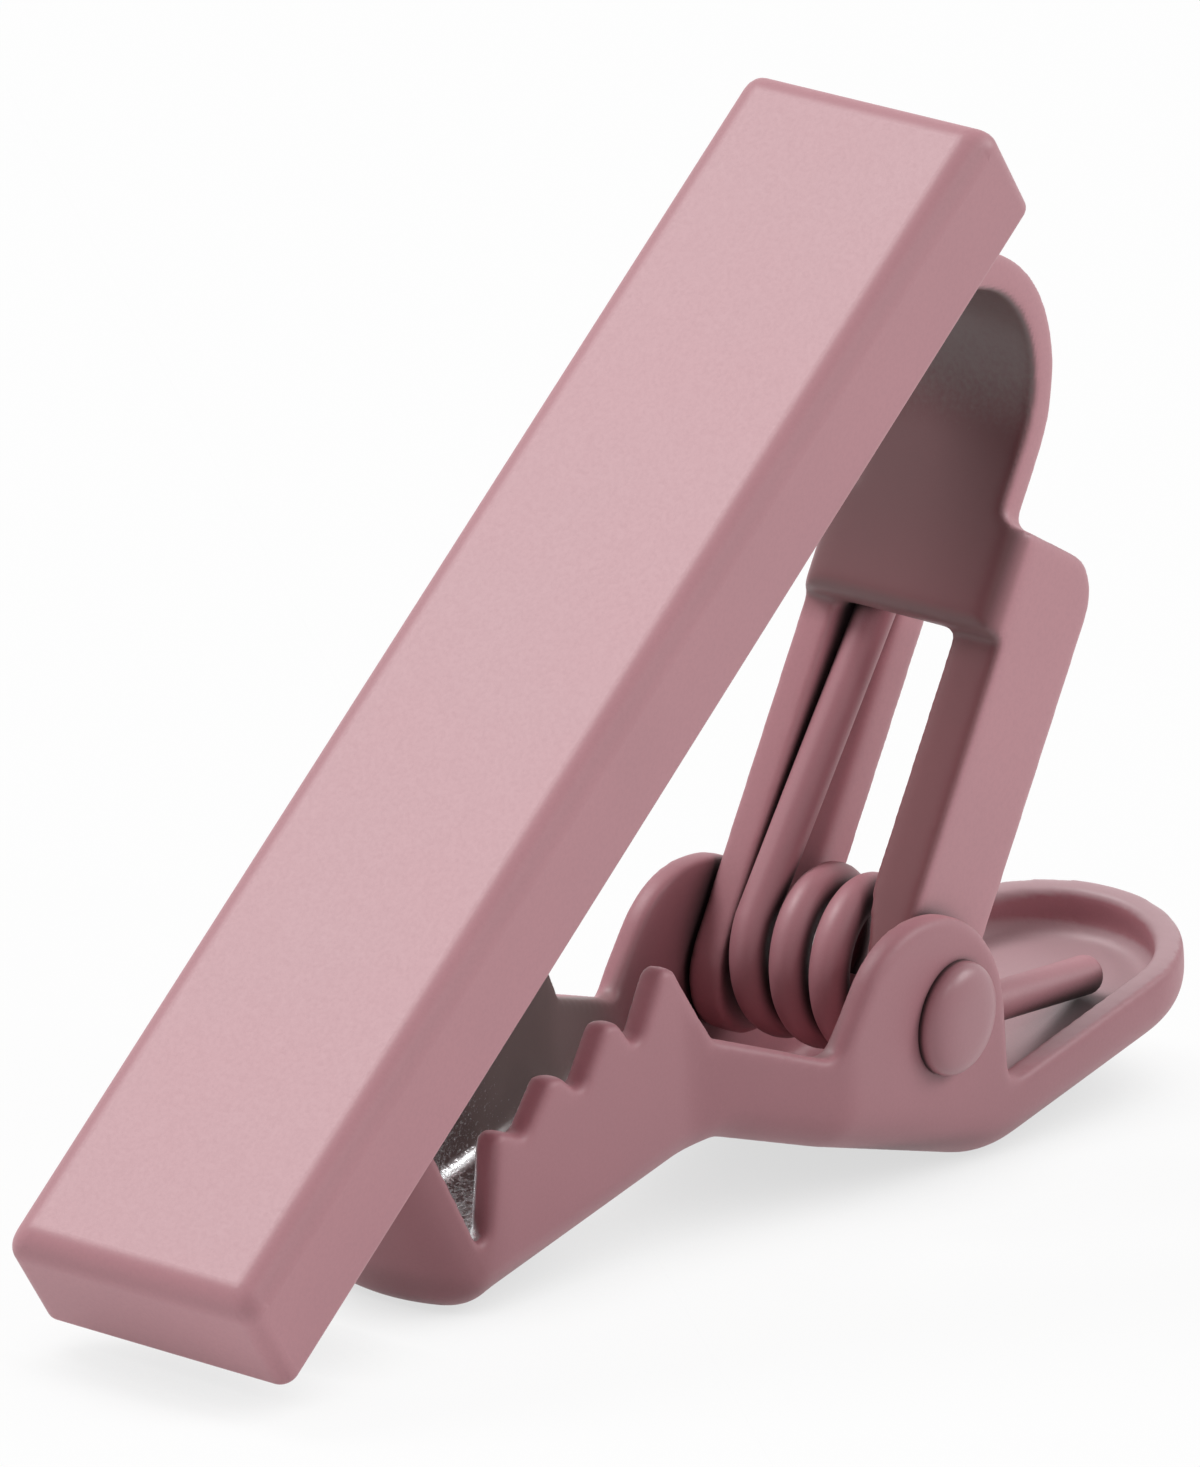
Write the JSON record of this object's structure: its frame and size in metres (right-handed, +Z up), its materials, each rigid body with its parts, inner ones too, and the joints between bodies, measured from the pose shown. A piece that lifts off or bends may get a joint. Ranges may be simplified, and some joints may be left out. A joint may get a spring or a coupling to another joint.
{
  "type": "tie clip",
  "caption": "Short flat tie bar with a sprung toothed jaw behind it; pinching the thumb lever opens the jaw so that it grips cloth.",
  "frame": {"origin": "on the surface that the clip stands on, under the middle of its bounding box", "axes": "+Z up; +X along the clip from the bar's foot towards the lever's tail; Y across the bar, along the rivet"},
  "size_m": [0.0434, 0.0092, 0.0277],
  "materials": {
    "bar_paint": "matte powder paint",
    "solder": "painted solder",
    "strap_paint": "matte powder paint",
    "spring_paint": "matte powder paint",
    "jaw_paint": "matte powder paint, thin inside",
    "rivet_paint": "matte powder paint"
  },
  "bodies": {
    "frame": {"front_bar": "bar_paint", "solder_joint": "solder", "arch_strap": "strap_paint", "torsion_spring": "spring_paint"},
    "jaw_body": {"jaw": "jaw_paint", "hinge_rivet": "rivet_paint"}
  },
  "joints": [
    {"name": "jaw_hinge", "type": "hinge", "parent": "frame", "child": "jaw_body", "pos_m": [0.00801, 0, 0.00442], "axis": [0, -1, 0], "range_deg": [0, 55], "stiffness_Nm_per_rad": 0.004, "springref_deg": -28.65, "deforming": ["torsion_spring"]}
  ]
}
